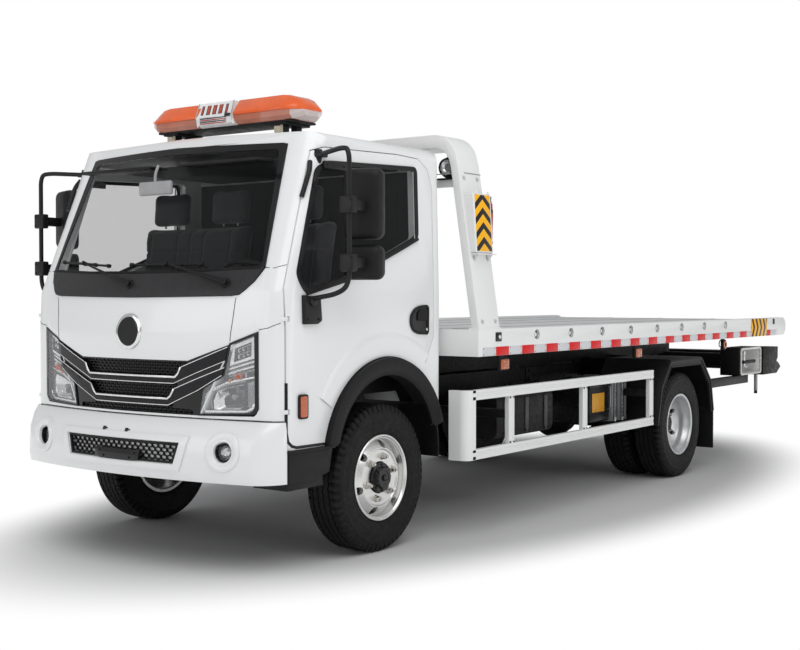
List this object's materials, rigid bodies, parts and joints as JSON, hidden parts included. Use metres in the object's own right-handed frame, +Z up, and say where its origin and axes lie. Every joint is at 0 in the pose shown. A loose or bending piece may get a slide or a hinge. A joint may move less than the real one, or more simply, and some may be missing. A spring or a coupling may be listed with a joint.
{
  "type": "flatbed tow truck",
  "caption": "Cab-over light truck with a sliding, tilting flatbed, headboard arch, side guards, roof beacon bar and a rear wheel lift.",
  "frame": {"origin": "on the ground, at the middle of the truck's length and width", "axes": "the front faces -Y, +X is the vehicle's left side, +Z is up"},
  "size_m": [2.4452, 6.6896, 2.4419],
  "materials": {
    "white_paint": "gloss",
    "black_frame": "satin",
    "black_plastic": "fine grain",
    "gloss_black": "gloss",
    "tyre": "matte",
    "bright_steel": "polished",
    "silver_rim": "satin",
    "cast_iron": "rough",
    "glass": "tinted",
    "lamp": "clear",
    "red_lens": "gloss",
    "amber_lens": "gloss",
    "fabric": "woven",
    "grey_tank": "satin",
    "steel_rod": "polished"
  },
  "bodies": {
    "chassis": {"chassis_frame": "black_frame", "front_axle": "cast_iron", "rear_axle": "cast_iron", "leaf_springs": "black_frame", "engine_block": "cast_iron", "propeller_shaft": "black_frame", "battery_box": "black_plastic", "air_tank": "grey_tank", "oil_tank": "black_frame", "fuel_tank": "grey_tank", "side_guards": "white_paint", "mudguards": "black_plastic"},
    "knuckle_left": {"knuckle_left": "cast_iron"},
    "knuckle_right": {"knuckle_right": "cast_iron"},
    "tie_rod": {"tie_rod": "black_frame"},
    "front_wheel_left": {"front_tyre_left": "tyre", "front_rim_left": "silver_rim"},
    "front_wheel_right": {"front_tyre_right": "tyre", "front_rim_right": "silver_rim"},
    "rear_wheels_left": {"rear_tyres_left": "tyre", "rear_rims_left": "silver_rim"},
    "rear_wheels_right": {"rear_tyres_right": "tyre", "rear_rims_right": "silver_rim"},
    "cab": {"cab_shell": "white_paint", "cab_floor": "black_plastic", "wipers": "black_plastic", "cab_glass": "glass", "grille": "gloss_black", "headlamps": "lamp", "front_bumper": "white_paint", "fog_lamps": "lamp", "wheel_arches": "black_plastic", "cab_steps": "black_plastic", "light_bar": "amber_lens", "seats": "fabric", "dashboard": "black_plastic", "steering_wheel": "black_plastic"},
    "door_left": {"door_left": "white_paint", "door_fittings_left": "black_plastic", "door_glass_left": "glass", "mirror_left": "black_plastic"},
    "door_right": {"door_right": "white_paint", "door_fittings_right": "black_plastic", "door_glass_right": "glass", "mirror_right": "black_plastic"},
    "tilt_frame": {"tilt_frame": "black_frame", "lamp_boxes": "black_frame", "stow_arms": "black_frame", "tail_lamps": "red_lens"},
    "lift_barrels": {"lift_barrels": "black_frame"},
    "lift_rods": {"lift_rods": "steel_rod"},
    "boom": {"underlift_boom": "black_frame"},
    "stinger": {"underlift_stinger": "black_frame", "underlift_crossbar": "black_frame"},
    "bed": {"bed": "white_paint", "gantry": "white_paint", "warning_panels": "white_paint", "bed_lamps": "amber_lens", "winch_frame": "black_frame"},
    "winch_drum": {"winch_drum": "cast_iron"}
  },
  "joints": [
    {"name": "steering_left", "type": "hinge", "parent": "chassis", "child": "knuckle_left", "pos_m": [0.655, -2.33, 0.395], "axis": [0, 0, 1], "range_deg": [-35, 35]},
    {"name": "steering_right", "type": "hinge", "parent": "chassis", "child": "knuckle_right", "pos_m": [-0.655, -2.33, 0.395], "axis": [0, 0, 1], "range_deg": [-35, 35]},
    {"name": "tie_rod_swing", "type": "hinge", "parent": "knuckle_left", "child": "tie_rod", "pos_m": [0.655, -2.18, 0.302], "axis": [0, 0, 1], "range_deg": [-35, 35]},
    {"name": "front_wheel_left_spin", "type": "hinge", "parent": "knuckle_left", "child": "front_wheel_left", "pos_m": [0.8225, -2.33, 0.395], "axis": [1, 0, 0], "continuous": true},
    {"name": "front_wheel_right_spin", "type": "hinge", "parent": "knuckle_right", "child": "front_wheel_right", "pos_m": [-0.8225, -2.33, 0.395], "axis": [1, 0, 0], "continuous": true},
    {"name": "rear_wheels_left_spin", "type": "hinge", "parent": "chassis", "child": "rear_wheels_left", "pos_m": [0.855, 1.205, 0.395], "axis": [1, 0, 0], "continuous": true},
    {"name": "rear_wheels_right_spin", "type": "hinge", "parent": "chassis", "child": "rear_wheels_right", "pos_m": [-0.855, 1.205, 0.395], "axis": [1, 0, 0], "continuous": true},
    {"name": "cab_tilt", "type": "hinge", "parent": "chassis", "child": "cab", "pos_m": [0, -2.99, 0.52], "axis": [1, 0, 0], "range_deg": [0, 45]},
    {"name": "door_left_hinge", "type": "hinge", "parent": "cab", "child": "door_left", "pos_m": [0.914, -3.087, 1], "axis": [0, 0, -1], "range_deg": [0, 65]},
    {"name": "door_right_hinge", "type": "hinge", "parent": "cab", "child": "door_right", "pos_m": [-0.914, -3.087, 1], "axis": [0, 0, 1], "range_deg": [0, 65]},
    {"name": "bed_tilt", "type": "hinge", "parent": "chassis", "child": "tilt_frame", "pos_m": [0, 2.315, 0.82], "axis": [-1, 0, 0], "range_deg": [0, 13]},
    {"name": "bed_slide", "type": "slide", "parent": "tilt_frame", "child": "bed", "axis": [0, 1, 0], "range_m": [0, 3.2]},
    {"name": "lift_barrels_swing", "type": "hinge", "parent": "chassis", "child": "lift_barrels", "pos_m": [0, 0.555, 0.64], "axis": [-1, 0, 0], "range_deg": [0, 27.5]},
    {"name": "lift_rods_slide", "type": "slide", "parent": "lift_barrels", "child": "lift_rods", "axis": [0, -0.9783, 0.2074], "range_m": [0, 0.213]},
    {"name": "underlift_fold", "type": "hinge", "parent": "tilt_frame", "child": "boom", "pos_m": [0, 1.8, 0.705], "axis": [1, 0, 0], "range_deg": [-8, 0]},
    {"name": "underlift_slide", "type": "slide", "parent": "boom", "child": "stinger", "axis": [0, -1, 0], "range_m": [-0.8, 0]},
    {"name": "winch_spin", "type": "hinge", "parent": "bed", "child": "winch_drum", "pos_m": [0, -1.314, 1.282], "axis": [1, 0, 0], "continuous": true}
  ],
  "couplings": [
    {"joint": "steering_right", "follows": "steering_left", "ratio": 1},
    {"joint": "tie_rod_swing", "follows": "steering_left", "ratio": -1},
    {"joint": "lift_barrels_swing", "follows": "bed_tilt", "ratio": 2.085},
    {"joint": "lift_rods_slide", "follows": "bed_tilt", "m_per_rad": 0.93}
  ]
}
